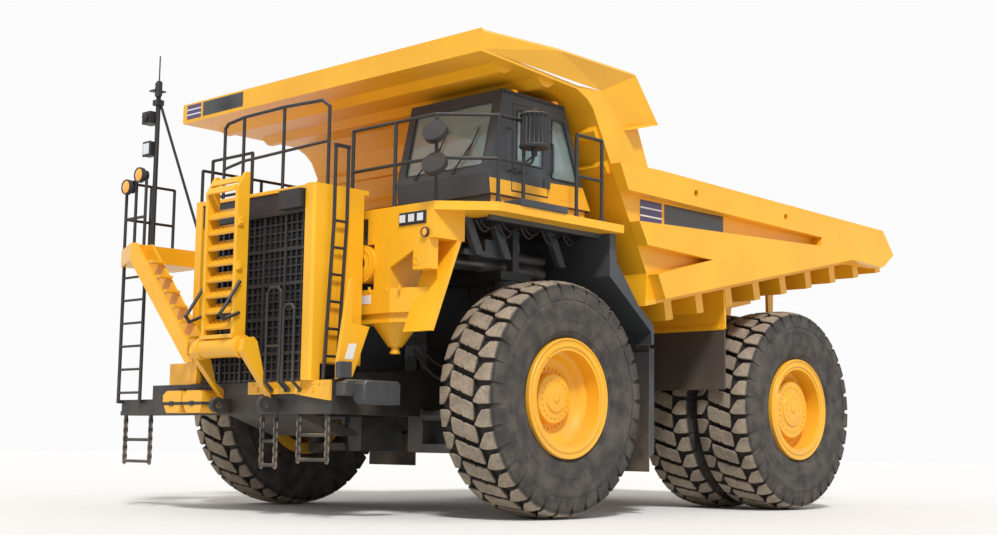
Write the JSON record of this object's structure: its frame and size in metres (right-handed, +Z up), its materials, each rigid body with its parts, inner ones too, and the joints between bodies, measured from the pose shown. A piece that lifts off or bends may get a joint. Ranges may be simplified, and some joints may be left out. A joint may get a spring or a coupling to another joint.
{
  "type": "mining dump truck",
  "caption": "Rigid-frame mining dump truck with a tipping bed, canopy, offset cab, steered front wheels, twin rear wheels and a fold-down boarding ladder.",
  "frame": {"origin": "on the ground under the middle of the truck's bounding box", "axes": "+X forward, +Y to the left, +Z up"},
  "size_m": [11.8388, 6.33, 6.5799],
  "materials": {
    "yellow": "semi-gloss, dusty",
    "black": "satin",
    "slate": "satin",
    "tyre": "matt",
    "rod_steel": "polished",
    "pipe_steel": "worn",
    "glass": "clear",
    "trim": "matt"
  },
  "bodies": {
    "chassis": {"frame": "black", "bumper": "black", "bumper_panels": "yellow", "engine": "slate", "driveline": "slate", "radiator_shell": "yellow", "grille": "black", "fixed_stair": "yellow", "lamps": "pipe_steel", "decks": "yellow", "deck_supports": "slate", "air_cleaners": "yellow", "handrails": "black", "chain_steps": "black", "mast": "black", "mirrors": "black", "tanks": "slate", "exhaust": "pipe_steel", "suspension": "slate", "rear_axle": "slate", "steering_barrels": "slate", "cab_shell": "slate", "cab_glass": "glass", "cab_seat": "trim"},
    "bed": {"bed_floor": "yellow", "bed_front_wall": "yellow", "bed_sides": "yellow", "bed_canopy": "yellow", "bed_beams": "yellow", "bed_guards": "yellow", "rock_ejectors": "yellow"},
    "ladder": {"boarding_ladder": "yellow", "ladder_loops": "black"},
    "door": {"cab_door": "slate", "door_glass": "glass"},
    "tie_bar": {"tie_rod": "pipe_steel"},
    "steer_left": {"knuckle_left": "black"},
    "front_wheel_left": {"tyre_front_left": "tyre", "wheel_front_left": "yellow"},
    "rear_wheels_left": {"tyres_rear_left": "tyre", "wheels_rear_left": "yellow"},
    "steer_ram_left": {"steering_rod_left": "rod_steel"},
    "hoist_left": {"hoist_barrel_left": "slate"},
    "hoist_mid_left": {"hoist_sleeve_left": "rod_steel"},
    "hoist_end_left": {"hoist_rod_left": "rod_steel"},
    "steer_right": {"knuckle_right": "black"},
    "front_wheel_right": {"tyre_front_right": "tyre", "wheel_front_right": "yellow"},
    "rear_wheels_right": {"tyres_rear_right": "tyre", "wheels_rear_right": "yellow"},
    "steer_ram_right": {"steering_rod_right": "rod_steel"},
    "hoist_right": {"hoist_barrel_right": "slate"},
    "hoist_mid_right": {"hoist_sleeve_right": "rod_steel"},
    "hoist_end_right": {"hoist_rod_right": "rod_steel"}
  },
  "joints": [
    {"name": "bed_tip", "type": "hinge", "parent": "chassis", "child": "bed", "pos_m": [-4.14984, 0, 2.94829], "axis": [0, -1, 0], "range_deg": [0, 48]},
    {"name": "ladder_fold", "type": "hinge", "parent": "chassis", "child": "ladder", "pos_m": [5.57559, -0.15, 2.12], "axis": [0, 1, 0], "range_deg": [0, 135]},
    {"name": "cab_door_swing", "type": "hinge", "parent": "chassis", "child": "door", "pos_m": [2.43589, 2.6223, 4.76], "axis": [0, 0, 1], "range_deg": [0, 80]},
    {"name": "steering_left", "type": "hinge", "parent": "chassis", "child": "steer_left", "pos_m": [2.49559, 1.93, 1.53], "axis": [0, 0, 1], "range_deg": [-30, 30]},
    {"name": "front_spin_left", "type": "hinge", "parent": "steer_left", "child": "front_wheel_left", "pos_m": [2.49559, 2.62, 1.53], "axis": [0, 1, 0], "continuous": true},
    {"name": "rear_spin_left", "type": "hinge", "parent": "chassis", "child": "rear_wheels_left", "pos_m": [-2.85441, 2.16, 1.53], "axis": [0, 1, 0], "continuous": true},
    {"name": "steer_ram_slide_left", "type": "slide", "parent": "chassis", "child": "steer_ram_left", "axis": [0, 1, 0], "range_m": [-0.205, 0.205]},
    {"name": "hoist_lean_left", "type": "hinge", "parent": "chassis", "child": "hoist_left", "pos_m": [-1.65441, 0.955, 1.3], "axis": [0, -1, 0], "range_deg": [0, 20]},
    {"name": "hoist_mid_slide_left", "type": "slide", "parent": "hoist_left", "child": "hoist_mid_left", "axis": [0.1865, 0, 0.9824], "range_m": [0, 1.07]},
    {"name": "hoist_end_slide_left", "type": "slide", "parent": "hoist_mid_left", "child": "hoist_end_left", "axis": [0.1865, 0, 0.9824], "range_m": [0, 1.07]},
    {"name": "steering_right", "type": "hinge", "parent": "chassis", "child": "steer_right", "pos_m": [2.49559, -1.93, 1.53], "axis": [0, 0, 1], "range_deg": [-30, 30]},
    {"name": "front_spin_right", "type": "hinge", "parent": "steer_right", "child": "front_wheel_right", "pos_m": [2.49559, -2.62, 1.53], "axis": [0, 1, 0], "continuous": true},
    {"name": "rear_spin_right", "type": "hinge", "parent": "chassis", "child": "rear_wheels_right", "pos_m": [-2.85441, -2.16, 1.53], "axis": [0, 1, 0], "continuous": true},
    {"name": "steer_ram_slide_right", "type": "slide", "parent": "chassis", "child": "steer_ram_right", "axis": [0, 1, 0], "range_m": [-0.205, 0.205]},
    {"name": "hoist_lean_right", "type": "hinge", "parent": "chassis", "child": "hoist_right", "pos_m": [-1.65441, -0.955, 1.3], "axis": [0, -1, 0], "range_deg": [0, 20]},
    {"name": "hoist_mid_slide_right", "type": "slide", "parent": "hoist_right", "child": "hoist_mid_right", "axis": [0.1865, 0, 0.9824], "range_m": [0, 1.07]},
    {"name": "hoist_end_slide_right", "type": "slide", "parent": "hoist_mid_right", "child": "hoist_end_right", "axis": [0.1865, 0, 0.9824], "range_m": [0, 1.07]},
    {"name": "tie_rod_slide", "type": "slide", "parent": "chassis", "child": "tie_bar", "axis": [0, 1, 0], "range_m": [-0.255, 0.255]}
  ],
  "couplings": [
    {"joint": "hoist_lean_left", "follows": "bed_tip", "ratio": 0.40873},
    {"joint": "hoist_mid_slide_left", "follows": "bed_tip", "m_per_rad": 1.2631},
    {"joint": "hoist_end_slide_left", "follows": "bed_tip", "m_per_rad": 1.2631},
    {"joint": "hoist_lean_right", "follows": "bed_tip", "ratio": 0.40873},
    {"joint": "hoist_mid_slide_right", "follows": "bed_tip", "m_per_rad": 1.2631},
    {"joint": "hoist_end_slide_right", "follows": "bed_tip", "m_per_rad": 1.2631},
    {"joint": "steering_right", "follows": "steering_left", "ratio": 1},
    {"joint": "tie_rod_slide", "follows": "steering_left", "m_per_rad": -0.4775},
    {"joint": "steer_ram_slide_left", "follows": "steering_left", "m_per_rad": 0.382},
    {"joint": "steer_ram_slide_right", "follows": "steering_left", "m_per_rad": 0.382}
  ]
}
